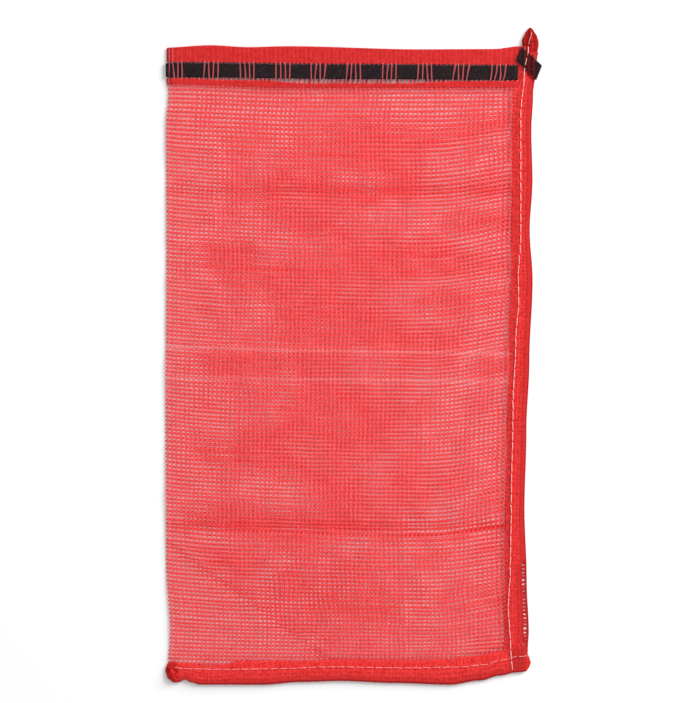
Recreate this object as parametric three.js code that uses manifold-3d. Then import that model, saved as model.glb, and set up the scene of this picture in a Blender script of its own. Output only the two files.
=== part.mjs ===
// An empty net sack for produce, lying flat with its shown face up.
// One leno-woven cloth is folded along the left edge and hemmed down the right side and along
// the bottom. A flat tape runs through a ladder of open warps below the mouth to draw it shut.
// Millimetres: +X to the right, +Y towards the mouth, +Z up from the surface the sack lies on.

import * as THREE from 'three';
import { mergeVertices } from 'three/addons/utils/BufferGeometryUtils.js';
import Module from 'manifold-3d';

const wasm = await Module();
wasm.setup();

const { lerp, smoothstep, degToRad } = THREE.MathUtils;

// Heights of the layers, from the surface up
const GAP = 0.3;               // between pieces that touch
const TRIM = 30;               // how far a trimming block runs past what it trims
const HEM_STEP = 14;           // longest straight stretch of a hem's curved edge
const NET_HEIGHT = 3.4;        // both layers of net and the shut space between them
const NET_EDGE_HEIGHT = 1.8;   // at the fold, where the two layers meet
const HEM_HEIGHT = 4.6;        // both layers turned under and sewn
const HEM_EDGE_DROP = 0.45;    // share of a hem's height lost at its rounded edges
const BAND_FLOOR = 0.5;        // underside and top of the dense band round the mouth
const BAND_TOP = 4.5;
const BAND_COLUMNS = 30;       // how finely its wavy edges are divided
const ROLL_HEIGHT = 2.4;       // the hem's tail rolled over the end of the tape
const ROLL_EDGE = [0.32, 0.5]; // where the roll starts and is full, as shares of the hem's width
const TAIL_TIP_HEIGHT = 2.8;
const KNOB_HEIGHT = 1.2;       // the gathered corner at the left end of the bottom hem
const CREASE_HEIGHT = 0.7;     // creases left by folding the sack in four

// Edges of the cloth as it lies, each a few points given as [place along, place across]
const FOLD_SIDE = [
  [-320, -194.5], [-288, -192.8], [-214, -197], [-46, -197.5], [111, -196.5],
  [237, -197], [274, -194.5], [286, -196.5], [324, -198],
];
const MOUTH_EDGE = [
  [-198, 323.5], [-150, 326], [-110, 324], [-70, 325], [70, 321.7], [145, 322], [176, 325],
];
const BAND_FOOT = [[-197, 285.5], [-60, 281.5], [176, 282]];
const HEM_INNER = [
  [-310.4, 159], [-214, 159], [-130, 161], [6, 163.7], [122, 167], [283, 167.4],
  [292, 172], [305, 173], [325, 178.4], [332, 178], [339, 180.5], [344.5, 184],
];
const HEM_OUTER = [
  [-310.4, 181], [-288, 182], [-235, 180], [-162, 178], [-78, 180], [-4, 183],
  [80, 186.3], [132, 183.6], [185, 186.3], [237, 185.2], [274, 186.8],
  [305, 190.5], [329, 194], [335, 192.6], [341, 189.2], [344.5, 186.5],
];
const BOTTOM_EDGE = [
  [-197.5, -331.7], [-195, -338.5], [-188.5, -342.2], [-182, -341.7], [-177.5, -339],
  [-170.5, -342.2], [-161, -344.5], [-96, -344.5], [-56, -341.7], [-14, -340.6],
  [43, -342.7], [101, -344.5], [133, -340], [154, -334.8], [170, -331.7],
  [181, -330.7], [184, -326.4], [186, -322],
];
const BOTTOM_HEM_TOP = [
  [-197.5, -327.5], [-195, -323.3], [-190.5, -321.7], [-180, -323.3], [-149, -326],
  [-114, -321], [-4, -319.6], [91, -320], [122, -316], [159, -310.7], [181, -310.7],
  [184, -316], [186, -321],
];

// The tape that draws the mouth shut
const TAPE_WIDTH = 14.5;
const TAPE_THICK = 0.6;
const TAPE_CENTRE = [[-198, 300], [0, 298], [176, 297]];
const TAPE_FRONT = 3.9;        // height of its middle on the shown face, and on the other one
const TAPE_BACK = 1.1;
const TAPE_LEFT_BEND = -195.5; // where it starts to turn round the fold
const TAPE_END_BEND = 193.4;   // where it starts to turn back over the hem's tail
const TAPE_END_RADIUS = 0.9;
const TAPE_END_ANGLE = degToRad(68.5);
const TAPE_END_LENGTH = 28;
const TAPE_SLACK = 0.8;        // free space beside the tape in the ladder
const TAPE_ROOM = TAPE_THICK / 2 + GAP;
const BEND_STEPS = 6;

// Warps that cross over the tape, in groups with bare tape between them
const WARP_GROUPS = 10;
const WARPS_A_GROUP = 4;
const WARP_PITCH = 4.7;
const GROUP_PITCH = 38;
const FIRST_GROUP = -187.5;
const WARP_WIDE = 1.2;
const WARP_THICK = 0.5;
const WARP_HOLD = 2.4;         // how far a warp runs into the cloth on each side
const WARP_SINK = 0.4;         // and how deep it goes there

// Chain stitch down the hems, each seam a line of points given as [place along, place across]
const STITCH_WIDE = 1.1;
const STITCH_THICK = 0.8;
const STITCH_RISE = 0.4;
const SIDE_STITCH = 10.9;
const BOTTOM_STITCH = 9.9;
const STEPS_A_STITCH = 3;
const SIDE_SEAM = [
  [-330, 166.3], [-305, 164.5], [-263, 162.1], [-225, 164.2], [-158, 165.2], [-53, 167],
  [17, 170], [59, 173], [84, 172.6], [126, 175.2], [254, 175.2], [296, 178.9],
];
const TAIL_SEAM = [[326, 183.5], [340, 186.5]];
const BOTTOM_SEAM = [
  [-175, -327.8], [-135, -328.5], [-77, -327.8], [-25, -325.8], [49, -326.9], [110, -326.1],
  [134, -323.8], [158, -318.5], [170, -315.2], [182, -314.5],
];
const SEAM_CROSSING = 165.2;   // where the bottom seam hops over the side seam
const HOP_HEIGHT = 1.7;
const HOP_REACH = 8;

// The value at a place along an edge, eased between the places where it is known.
function eased(known, along) {
  const next = known.findIndex(([place]) => place >= along);
  if (next === 0) return known[0][1];
  if (next < 0) return known.at(-1)[1];
  const [from, low] = known[next - 1];
  const [to, high] = known[next];
  return lerp(low, high, smoothstep(along, from, to));
}

// The item of a list that lies a share of the way along it.
function pick(list, share) {
  return list[Math.round(share * (list.length - 1))];
}

// Places along an edge: every known one, and even steps between them.
function stations(known, step) {
  const places = [known[0][0]];
  for (let i = 1; i < known.length; i += 1) {
    const from = known[i - 1][0];
    const to = known[i][0];
    const parts = Math.ceil((to - from) / step);
    for (let part = 1; part <= parts; part += 1) places.push(lerp(from, to, part / parts));
  }
  return places;
}

// A closed solid of cloth, tape or thread: a block of columns by rows, one layer thick, whose
// corners go where place(across, along, through) puts them, each running from 0 to 1.
function laid(columns, rows, place) {
  const block = new THREE.BoxGeometry(1, 1, 1, columns, rows, 1);
  block.deleteAttribute('normal');
  block.deleteAttribute('uv');
  block.clearGroups();
  const geometry = mergeVertices(block);
  const corners = geometry.getAttribute('position');
  for (let i = 0; i < corners.count; i += 1) {
    const spot = place(corners.getX(i) + 0.5, corners.getY(i) + 0.5, corners.getZ(i) + 0.5);
    corners.setXYZ(i, ...spot);
  }
  geometry.computeVertexNormals();
  return geometry;
}

function solidOf(geometry) {
  const vertProperties = new Float32Array(geometry.getAttribute('position').array);
  const triVerts = new Uint32Array(geometry.getIndex().array);
  return new wasm.Manifold(new wasm.Mesh({ numProp: 3, vertProperties, triVerts }));
}

function geometryOf(solid) {
  const { vertProperties, triVerts } = solid.getMesh();
  const geometry = new THREE.BufferGeometry();
  geometry.setAttribute('position', new THREE.BufferAttribute(vertProperties, 3));
  geometry.setIndex(new THREE.BufferAttribute(triVerts, 1));
  geometry.computeVertexNormals();
  return geometry;
}

// Share of a hem's full height across its width, lower at both rounded edges.
function crown(across) {
  return 1 - HEM_EDGE_DROP * Math.abs(2 * across - 1) ** 6;
}

// Where the rows of the side hem and the columns of the bottom hem are.
function hemStations(edge, otherEdge) {
  return stations([...edge, ...otherEdge].sort(([a], [b]) => a - b), HEM_STEP);
}

// The room that the side hem, the bottom hem and the band take, with a gap, so that the cloth
// beside them can be trimmed to it.
function sideHemRoom() {
  const rows = hemStations(HEM_INNER, HEM_OUTER);
  return solidOf(laid(1, rows.length - 1, (across, along, through) => {
    const y = pick(rows, along);
    const longer = along === 0 ? -TRIM : 0;
    return [eased(HEM_INNER, y) - GAP + across * TRIM, y + longer, (2 * through - 1) * TRIM];
  }));
}

function bottomHemRoom() {
  const columns = hemStations(BOTTOM_EDGE, BOTTOM_HEM_TOP);
  return solidOf(laid(columns.length - 1, 1, (across, along, through) => {
    const x = pick(columns, across);
    return [x, eased(BOTTOM_HEM_TOP, x) + GAP - (1 - along) * TRIM, (2 * through - 1) * TRIM];
  }));
}

function bandRoom() {
  return solidOf(laid(BAND_COLUMNS, 1, (across, along, through) => {
    const x = lerp(FOLD_SIDE.at(-1)[1] - TRIM, MOUTH_EDGE.at(-1)[0] + TRIM, across);
    return [x, eased(BAND_FOOT, x) - GAP + along * TRIM, (2 * through - 1) * TRIM];
  }));
}

// The open net: from the fold to the side hem, and from the bottom hem to the mouth's band.
function makeNet() {
  const columns = 12;
  const rows = 42;
  const closerAtFold = 1.3;
  const foldRounding = 2.5;
  const wave = 0.25;
  const foot = BOTTOM_HEM_TOP[4][1];
  const head = BAND_FOOT[0][1];
  const right = HEM_INNER[6][1];
  const creasePitch = 173;
  const creaseReach = 11;

  function relief(x, y) {
    let height = wave * Math.sin(x / 31 + y / 57) * Math.sin(y / 43 - x / 90);
    for (const fold of [-1, 0, 1]) {
      const away = (y - fold * creasePitch) / creaseReach;
      height += CREASE_HEIGHT * (fold === 0 ? 1 : -1) * Math.exp(-away * away);
    }
    return height;
  }

  const sheet = laid(columns, rows, (across, along, through) => {
    const y = lerp(foot, head, along);
    const left = eased(FOLD_SIDE, y);
    const x = lerp(left, right, across ** closerAtFold);
    const rounding = Math.exp((left - x) / foldRounding);
    return [x, y, through * lerp(NET_HEIGHT + relief(x, y), NET_EDGE_HEIGHT, rounding)];
  });
  const rooms = [sideHemRoom(), bottomHemRoom(), bandRoom()];
  return geometryOf(rooms.reduce((net, room) => net.subtract(room), solidOf(sheet)));
}

// A strip that follows the tape, for the grooves it lies in.
function tapeGroove(from, to, low, high) {
  const reach = TAPE_WIDTH / 2 + TAPE_SLACK;
  return solidOf(laid(BAND_COLUMNS, 1, (across, along, through) => {
    const x = lerp(from, to, across);
    return [x, eased(TAPE_CENTRE, x) + (2 * along - 1) * reach, lerp(low, high, through)];
  }));
}

// One warp that leaves the cloth above the tape, crosses it and goes back in below.
function crossingWarp(x, face) {
  const half = TAPE_WIDTH / 2 + TAPE_SLACK + WARP_HOLD;
  const rows = [-half, WARP_HOLD - half, half - WARP_HOLD, half];
  const overTape = face > 0 ? BAND_TOP : BAND_FLOOR - WARP_THICK;
  return solidOf(laid(1, rows.length - 1, (across, along, through) => {
    const y = eased(TAPE_CENTRE, x) + pick(rows, along);
    const sink = along === 0 || along === 1 ? face * WARP_SINK : 0;
    return [x + (across - 0.5) * WARP_WIDE, y, overTape + through * WARP_THICK - sink];
  }));
}

// The dense band round the mouth, with the ladder of warps that holds the tape to it.
function makeMouthBand() {
  const left = FOLD_SIDE.at(-1)[1];
  const right = HEM_OUTER.at(-1)[1];
  let band = solidOf(laid(BAND_COLUMNS, 2, (across, along, through) => {
    const x = lerp(left, right, across);
    const y = lerp(eased(BAND_FOOT, x), eased(MOUTH_EDGE, x), along);
    const foldShift = (1 - across) * (eased(FOLD_SIDE, y) - left);
    return [x + foldShift, y, lerp(BAND_FLOOR, BAND_TOP, through)];
  })).subtract(sideHemRoom());

  band = band.subtract(tapeGroove(left - TRIM, right, TAPE_FRONT - TAPE_ROOM, TRIM));
  band = band.subtract(tapeGroove(left - TRIM, right, -TRIM, TAPE_BACK + TAPE_ROOM));
  band = band.subtract(tapeGroove(left - TRIM, TAPE_LEFT_BEND + GAP, -TRIM, TRIM));

  for (let group = 0; group < WARP_GROUPS; group += 1) {
    for (let warp = 0; warp < WARPS_A_GROUP; warp += 1) {
      const x = FIRST_GROUP + group * GROUP_PITCH + (warp - (WARPS_A_GROUP - 1) / 2) * WARP_PITCH;
      band = band.add(crossingWarp(x, 1));
      band = band.add(crossingWarp(x, -1));
    }
  }
  return geometryOf(band);
}

// How far out and up a flat tape has gone, some distance past the line where it starts to turn
// back over itself, and the angle it has turned through.
function bentBack(distance, radius) {
  if (distance <= 0) return { out: distance, up: 0, turn: 0 };
  const turn = Math.min(distance / radius, Math.PI);
  const straight = distance - turn * radius;
  return { out: radius * Math.sin(turn) - straight, up: radius * (1 - Math.cos(turn)), turn };
}

// The tape: along the back of the mouth, round the fold, along the shown face, through the side
// hem, then turned back on a slant through the hem's tail to its cut end.
function makeDrawstring() {
  const leftRadius = (TAPE_FRONT - TAPE_BACK) / 2;
  const leftBend = Math.PI * leftRadius;
  const endBend = Math.PI * TAPE_END_RADIUS;
  const backEnd = eased(HEM_INNER, TAPE_CENTRE.at(-1)[1] - TAPE_WIDTH / 2) - 2 * GAP;
  const stretches = [
    [TAPE_LEFT_BEND - leftBend, 12],
    [TAPE_LEFT_BEND, BEND_STEPS],
    [TAPE_END_BEND, 16],
    [TAPE_END_BEND + endBend, BEND_STEPS],
    [TAPE_END_BEND + TAPE_END_LENGTH, 1],
  ];
  const places = [2 * TAPE_LEFT_BEND - leftBend - backEnd];
  for (const [to, parts] of stretches) {
    const from = places.at(-1);
    for (let part = 1; part <= parts; part += 1) places.push(lerp(from, to, part / parts));
  }

  const outX = Math.sin(TAPE_END_ANGLE);
  const outY = -Math.cos(TAPE_END_ANGLE);
  const bendY = eased(TAPE_CENTRE, TAPE_END_BEND);
  const slantFrom = 100;

  function roundTheFold(place, offset, side) {
    const { out, up, turn } = bentBack(TAPE_LEFT_BEND - place, leftRadius);
    const x = TAPE_LEFT_BEND - out - side * Math.sin(turn);
    return [x, eased(TAPE_CENTRE, x) + offset, TAPE_FRONT - up + side * Math.cos(turn)];
  }

  function throughTheTail(place, offset, side) {
    const slant = smoothstep(place, slantFrom, TAPE_END_BEND) / Math.tan(TAPE_END_ANGLE);
    const x = place + slant * offset;
    const y = eased(TAPE_CENTRE, x) + offset;
    const past = (x - TAPE_END_BEND) * outX + (y - bendY) * outY;
    const { out, up, turn } = bentBack(past, TAPE_END_RADIUS);
    const move = out - past - side * Math.sin(turn);
    return [x + move * outX, y + move * outY, TAPE_FRONT + up + side * Math.cos(turn)];
  }

  return laid(places.length - 1, 1, (along, across, through) => {
    const place = pick(places, along);
    const offset = (across - 0.5) * TAPE_WIDTH;
    const side = (through - 0.5) * TAPE_THICK;
    const route = place < TAPE_LEFT_BEND ? roundTheFold : throughTheTail;
    return route(place, offset, side);
  });
}

// Height of the side hem across its width, with its tail rolled over the end of the tape.
function sideHemTop(across, y) {
  const flat = eased([[318, HEM_HEIGHT], [344.5, TAIL_TIP_HEIGHT]], y);
  const roll = eased([[272, 0], [287, ROLL_HEIGHT], [322, ROLL_HEIGHT], [334, 0]], y);
  return (flat + roll * smoothstep(across, ...ROLL_EDGE)) * crown(across);
}

// The slots that the tape passes through in the side hem: straight across it, and on a slant
// under the top layer of its tail.
function tapeRunSlot() {
  const reach = TAPE_WIDTH / 2 + GAP;
  const inner = HEM_INNER[0][1];
  return solidOf(laid(BAND_COLUMNS, 1, (across, along, through) => {
    const x = lerp(inner, TAPE_END_BEND + TRIM, across);
    const y = eased(TAPE_CENTRE, x) + (2 * along - 1) * reach;
    return [x, y, TAPE_FRONT + (2 * through - 1) * TAPE_ROOM];
  }));
}

function tapeEndSlot() {
  const reach = TAPE_WIDTH / 2 + GAP;
  const runX = Math.cos(2 * TAPE_END_ANGLE);
  const runY = Math.sin(2 * TAPE_END_ANGLE);
  const bendX = TAPE_END_BEND + Math.PI * TAPE_END_RADIUS / 2 / Math.sin(TAPE_END_ANGLE);
  const bendY = eased(TAPE_CENTRE, TAPE_END_BEND);
  const height = TAPE_FRONT + 2 * TAPE_END_RADIUS;
  return solidOf(laid(1, 1, (across, along, through) => {
    const run = lerp(-TAPE_WIDTH, TAPE_END_LENGTH + TAPE_WIDTH, along);
    const aside = (2 * across - 1) * reach;
    const x = bendX + run * runX + aside * runY;
    const y = bendY + run * runY - aside * runX;
    return [x, y, height + (2 * through - 1) * TAPE_ROOM];
  }));
}

// The side hem and the tail it runs out into above the mouth.
function makeSideHem() {
  const columns = 8;
  const rows = hemStations(HEM_INNER, HEM_OUTER);
  const strip = laid(columns, rows.length - 1, (across, along, through) => {
    const y = pick(rows, along);
    const x = lerp(eased(HEM_INNER, y), eased(HEM_OUTER, y), across);
    return [x, y, through * sideHemTop(across, y)];
  });
  return geometryOf(solidOf(strip).subtract(tapeRunSlot()).subtract(tapeEndSlot()));
}

// The bottom hem, from the gathered corner under the fold to the corner under the side hem.
function makeBottomHem() {
  const columns = hemStations(BOTTOM_EDGE, BOTTOM_HEM_TOP);
  const rows = 5;
  return laid(columns.length - 1, rows, (across, along, through) => {
    const x = pick(columns, across);
    const y = lerp(eased(BOTTOM_EDGE, x), eased(BOTTOM_HEM_TOP, x), along);
    const knob = eased([[-197.5, 0], [-189, KNOB_HEIGHT], [-177.5, 0]], x);
    return [x, y, through * (HEM_HEIGHT + knob) * crown(along)];
  });
}

// A seam of stitches on top of a hem: lift(place) is the height of what the thread lies on.
function makeStitches(seam, pitch, alongY, lift) {
  const from = seam[0][0];
  const to = seam.at(-1)[0];
  const rows = STEPS_A_STITCH * Math.round((to - from) / pitch);
  return laid(alongY ? 1 : rows, alongY ? rows : 1, (u, v, through) => {
    const share = alongY ? v : u;
    const place = lerp(from, to, share);
    const side = eased(seam, place) + ((alongY ? u : v) - 0.5) * STITCH_WIDE;
    const atHole = Math.round(share * rows) % STEPS_A_STITCH === 0;
    const z = lift(place) + GAP + (atHole ? 0 : STITCH_RISE) + through * STITCH_THICK;
    return alongY ? [side, place, z] : [place, side, z];
  });
}

function underSideSeam(y) {
  const inner = eased(HEM_INNER, y);
  const threadEdge = eased(SIDE_SEAM, y) + STITCH_WIDE / 2;
  const across = (threadEdge - inner) / (eased(HEM_OUTER, y) - inner);
  return Math.max(HEM_HEIGHT, sideHemTop(across, y));
}

function hopOver(place) {
  return HOP_HEIGHT * (1 - smoothstep(Math.abs(place - SEAM_CROSSING), HOP_REACH / 2, HOP_REACH));
}

function cloth(colour, roughness) {
  return new THREE.MeshStandardMaterial({ color: colour, roughness, metalness: 0 });
}

const netRed = cloth('#e5494b', 0.55);
const bandRed = cloth('#d23c3b', 0.6);
const hemRed = cloth('#d42c2a', 0.6);
const tapeBlack = cloth('#211d1f', 0.5);
const threadWhite = cloth('#f2e2de', 0.7);

const pieces = [
  ['net', makeNet(), netRed],
  ['mouth_band', makeMouthBand(), bandRed],
  ['side_hem', makeSideHem(), hemRed],
  ['bottom_hem', makeBottomHem(), hemRed],
  ['drawstring', makeDrawstring(), tapeBlack],
  ['side_stitches', makeStitches(SIDE_SEAM, SIDE_STITCH, true, underSideSeam), threadWhite],
  ['tail_stitches', makeStitches(TAIL_SEAM, SIDE_STITCH, true, () => HEM_HEIGHT), threadWhite],
  [
    'bottom_stitches',
    makeStitches(BOTTOM_SEAM, BOTTOM_STITCH, false, (x) => HEM_HEIGHT + hopOver(x)),
    threadWhite,
  ],
];

const sack = new THREE.Group();
for (const [name, geometry, material] of pieces) {
  const mesh = new THREE.Mesh(geometry, material);
  mesh.name = name;
  sack.add(mesh);
}

// The origin is the middle of the sack's outline, on the surface it lies on.
const box = new THREE.Box3().setFromObject(sack);
const middle = box.getCenter(new THREE.Vector3());
sack.position.set(-middle.x, -middle.y, -box.min.z);
sack.updateMatrixWorld(true);

export default sack;
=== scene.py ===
import math

import bmesh
import bpy
import numpy as np
from mathutils import Matrix, Vector


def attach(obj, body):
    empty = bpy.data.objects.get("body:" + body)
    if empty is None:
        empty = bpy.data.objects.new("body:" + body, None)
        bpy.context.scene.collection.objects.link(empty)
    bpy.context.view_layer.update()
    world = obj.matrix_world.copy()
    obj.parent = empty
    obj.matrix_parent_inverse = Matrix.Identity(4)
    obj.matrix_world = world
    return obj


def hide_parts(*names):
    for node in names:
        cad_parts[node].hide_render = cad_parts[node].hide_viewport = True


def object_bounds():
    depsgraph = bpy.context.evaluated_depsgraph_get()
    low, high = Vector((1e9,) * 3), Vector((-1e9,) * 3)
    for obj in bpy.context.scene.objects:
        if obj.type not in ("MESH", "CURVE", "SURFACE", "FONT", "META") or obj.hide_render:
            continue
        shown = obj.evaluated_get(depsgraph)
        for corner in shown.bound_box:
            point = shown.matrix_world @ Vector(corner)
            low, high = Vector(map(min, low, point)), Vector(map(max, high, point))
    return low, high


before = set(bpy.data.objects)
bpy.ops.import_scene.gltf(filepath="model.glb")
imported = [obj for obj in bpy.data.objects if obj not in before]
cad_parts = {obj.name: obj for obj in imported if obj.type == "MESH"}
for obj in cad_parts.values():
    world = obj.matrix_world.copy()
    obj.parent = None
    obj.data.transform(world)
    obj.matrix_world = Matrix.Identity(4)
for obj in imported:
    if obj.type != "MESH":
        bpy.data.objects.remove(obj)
cad_low, cad_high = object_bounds()

# The surface that the sack lies on, and the light and camera of a plain packshot.
# A wide soft light stands low beyond the right end of the mouth, in an evenly white room, and the
# camera looks straight down with the mouth at the top of the picture.
MM = 0.001
PHOTO_SIZE = (700, 703)
PIXEL = 1.05                          # mm of the sack for each pixel of the picture
PICTURE_CENTRE = (-3.6, 4.8)          # mm from the middle of the sack
CAMERA_HEIGHT = 3.2                   # m
SENSOR = 36.0                         # mm
FLOOR_SIZE = 12.0                     # m
FLOOR_COLOUR = (0.81, 0.81, 0.81, 1)
FLOOR_ROUGHNESS = 0.9
FLOOR_GLOSS = 0.1
ROOM_LIGHT = 0.73
KEY_PLACE = (3.3, 2.4, 1.9)           # m
KEY_SIZE = 2.8                        # m
KEY_POWER = 340                       # W


def surface_material(name, colour, roughness):
    """A new material and its shader, with what is even all over already set."""
    material = bpy.data.materials.new(name)
    material.use_nodes = True
    shader = material.node_tree.nodes["Principled BSDF"]
    shader.inputs["Base Color"].default_value = colour
    shader.inputs["Roughness"].default_value = roughness
    return material, shader


def new_object(name, data):
    made = bpy.data.objects.new(name, data)
    bpy.context.scene.collection.objects.link(made)
    return made


def lay_floor():
    sheet = bmesh.new()
    bmesh.ops.create_grid(sheet, x_segments=1, y_segments=1, size=FLOOR_SIZE / 2)
    mesh = bpy.data.meshes.new("floor")
    sheet.to_mesh(mesh)
    sheet.free()
    material, shader = surface_material("floor_white", FLOOR_COLOUR, FLOOR_ROUGHNESS)
    shader.inputs["Specular IOR Level"].default_value = FLOOR_GLOSS
    mesh.materials.append(material)
    new_object("floor", mesh)


def light_room():
    world = bpy.data.worlds.new("white_room")
    world.use_nodes = True
    world.node_tree.nodes["Background"].inputs["Color"].default_value = (1, 1, 1, 1)
    world.node_tree.nodes["Background"].inputs["Strength"].default_value = ROOM_LIGHT
    bpy.context.scene.world = world
    key = bpy.data.lights.new("key", "AREA")
    key.size = KEY_SIZE
    key.energy = KEY_POWER
    lamp = new_object("key", key)
    lamp.location = KEY_PLACE
    lamp.rotation_euler = (-Vector(KEY_PLACE)).to_track_quat("-Z", "Y").to_euler()


def aim_camera():
    camera = bpy.data.cameras.new("camera")
    camera.sensor_width = SENSOR
    camera.lens = SENSOR * CAMERA_HEIGHT / (max(PHOTO_SIZE) * PIXEL * MM)
    eye = new_object("camera", camera)
    eye.location = (PICTURE_CENTRE[0] * MM, PICTURE_CENTRE[1] * MM, CAMERA_HEIGHT)
    bpy.context.scene.camera = eye
    bpy.context.scene.view_settings.view_transform = "Standard"


lay_floor()
light_room()
aim_camera()

# The wefts of the netting: flat red plastic yarn, one across the sack every few millimetres.
# Each runs along the shown face, round the fold on the left and back along the other face, and
# the side hem catches both its ends.
WARP_PITCH = 4.72                     # mm, as every size of the sack from here on is
WARPS_A_FACE = 80
NET_REACH = WARPS_A_FACE * WARP_PITCH  # from the fold to the middle of the side hem
WEFT_PITCH = 4.3
WEFT_COUNT = 144
NET_FOOT = -330.0                     # the lowest weft, inside the bottom hem
WEFT_WIDE = 1.9
WEFT_HIGH = 0.3
SHOWN_LAYER = 3.0                     # heights of the two faces and of the fold between them
BACK_LAYER = 0.55
FOLD_LAYER = 1.7
BAND_LIFT = 0.8                       # how much higher the shown face lies at the band
FOLD_WAVE = 0.5
FOLD_ROUNDING, FOLD_TURN = 1.8, 1.5   # how far from the fold the cloth levels out and turns over
FOLD_HOLD, HEM_HOLD = 20.0, 30.0      # over what distance the fold and the hem hold the cloth still
HEM_CATCH = 2.0                       # no yarn comes closer than this to the hem's outer edge
FOLD_SIDE = (                         # levels up the sack, and where its long edges lie there
    (-320, -194.5), (-288, -192.8), (-214, -197), (-46, -197.5), (111, -196.5),
    (237, -197), (274, -194.5), (286, -196.5), (324, -198),
)
HEM_INNER = (
    (-310.4, 159), (-214, 159), (-130, 161), (6, 163.7), (122, 167), (283, 167.4),
    (292, 172), (305, 173), (325, 178.4), (332, 178), (339, 180.5), (344.5, 184),
)
HEM_OUTER = (
    (-310.4, 181), (-288, 182), (-235, 180), (-162, 178), (-78, 180), (-4, 183),
    (80, 186.3), (132, 183.6), (185, 186.3), (237, 185.2), (274, 186.8),
    (305, 190.5), (329, 194), (335, 192.6), (341, 189.2), (344.5, 186.5),
)
BAND_FOOT = ((-197, 285.5), (-60, 281.5), (176, 282))  # places across, and the band's level there
FOOT_LEVEL = 282.0
MIDDLE_X = cad_low.x / MM - FOLD_SIDE[-1][1]  # shifts the mouth's left end onto that of the solids
DRIFT_WAVES = 6
DRIFT_LENGTH = (30, 110)              # shortest and longest wave of a slow random wander
LEFT_SAG, SAG_REACH, SAG_SLOPE = 6.0, 60.0, 0.02     # how the wefts hang from the fold
RIGHT_RISE, RISE_FROM, RISE_BLEND = 0.2, 95.0, 12.0  # and climb to the side hem
SAG_SHARE = ((-330, 0.3), (-250, 1))  # how much of that there is near the foot
FOOT_SLACK = ((-318, 0), (-270, 1))   # and how much the shown face is slack there
BAND_SHARE = ((205, 0), (283, 1))     # how much the wefts follow the band's foot instead
BACK_STRETCH = ((-330, 0.011), (-180, 0.0145), (285, 0.0155))
BACK_SLANT = 0.0134                   # how the back lies off the front: wider, and on a slant
SLANT_SHARE = ((-186, 0), (-174, 1))
WAVE_HEIGHT = 0.7
RIDGES = ((-173, -0.8), (0, 0.8), (173, -0.8))  # level and height of the folds across the sack
RIDGE_WIDE = 11.0
FACE_DRIFT = 0.4
BACK_DRIFT = 1.3
CREASES = (                           # level at the middle, slope, opening of the net, half width of the painted mark along it: painted highlight where the net opens, painted shade where it crowds
    (5.5, -0.02, 0.5, 2.2), (-25.0, -0.01, 0.4, 2.2), (174.0, 0.0, -0.5, 4.0),
    (-178.0, 0.0, -0.65, 5.0), (-336.4, -0.724, -0.6, 3.5),
)
SPREAD_STEP, SPREAD_REACH = 3.0, 5.0  # how gently and how far off a crease shifts the wefts
SHADE_PATCH_SPOT = (-45.0, -255.0)        # middle of a patch of painted shade on the shown face
SHADE_PATCH_REACH = (95.0, 38.0)
SHADE_PATCH_SHARE = 0.45
# painted highlight along the folds that open the net
NET_HIGHLIGHT_TINT = (1.0, 0.95, 0.95, 1)
# painted shade along the folds that crowd the net and over one patch
NET_SHADE_TINT = (0.85, 0.0, 0.0, 1)
WRINKLE_END, WRINKLE_SLOPE = (152.0, -308.0), 0.85
WRINKLE_BLEND = ((-8, 0), (8, 1))
WEFT_JITTER = 0.14
WEFT_SWELL = 0.16                     # how much the width of a weft varies, and in what waves
SWELL_WAVES = ((9.7, 2.4), (23.0, -1.3))
WEFT_RED = (0.99, 0.22, 0.23, 1)
WEFT_DEEP_RED = (0.98, 0.14, 0.15, 1)
WEFT_GLOW = (1.0, 0.43, 0.44, 1)
YARN_CLEARNESS = 0.85
YARN_ROUGHNESS = 0.42
YARN_GLOSS = 0.1
YARN_GRAIN = 380
GRAIN_DETAIL = 3


def eased(points, place):
    """The value at a place along an edge, eased between the points where it is known."""
    known, value = np.array(points, float).T
    step = np.clip(np.searchsorted(known, place) - 1, 0, len(known) - 2)
    share = np.clip((place - known[step]) / (known[step + 1] - known[step]), 0, 1)
    return value[step] + (value[step + 1] - value[step]) * share * share * (3 - 2 * share)


def drift(across, along, seed):
    """A slow random wander over the cloth, mostly within -1 and 1."""
    draw = np.random.default_rng(seed)
    total = np.zeros_like(across)
    for _ in range(DRIFT_WAVES):
        length = draw.uniform(*DRIFT_LENGTH)
        heading, start = draw.uniform(0, 2 * math.pi, 2)
        along_wave = across * math.cos(heading) + along * math.sin(heading)
        total += np.sin(along_wave * 2 * math.pi / length + start)
    return 2 * total / DRIFT_WAVES


def sag(x):
    """How far a weft lies above its place at the fold, or below it if this is negative."""
    out = x - FOLD_SIDE[0][1]
    left = LEFT_SAG * (1 - np.exp(-out / SAG_REACH)) + SAG_SLOPE * out
    return RIGHT_RISE * RISE_BLEND * np.log1p(np.exp((x - RISE_FROM) / RISE_BLEND)) - left


def relief(x, y):
    """Height of the slack shown face: slow waves, and creases left by folding the sack in four."""
    height = WAVE_HEIGHT * drift(x, y, 15)
    for level, ridge in RIDGES:
        height += ridge * np.exp(-((y - level) / RIDGE_WIDE) ** 2)
    return height


def spread(x, y):
    """How far the wefts stand off the lines where the sack was folded, or crowd up to them."""
    total = np.zeros_like(y)
    for level, slope, opening, _ in CREASES:
        off = y - level - slope * x
        total += opening * off / SPREAD_STEP * np.exp(-(off / SPREAD_REACH) ** 2)
    return total


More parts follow.
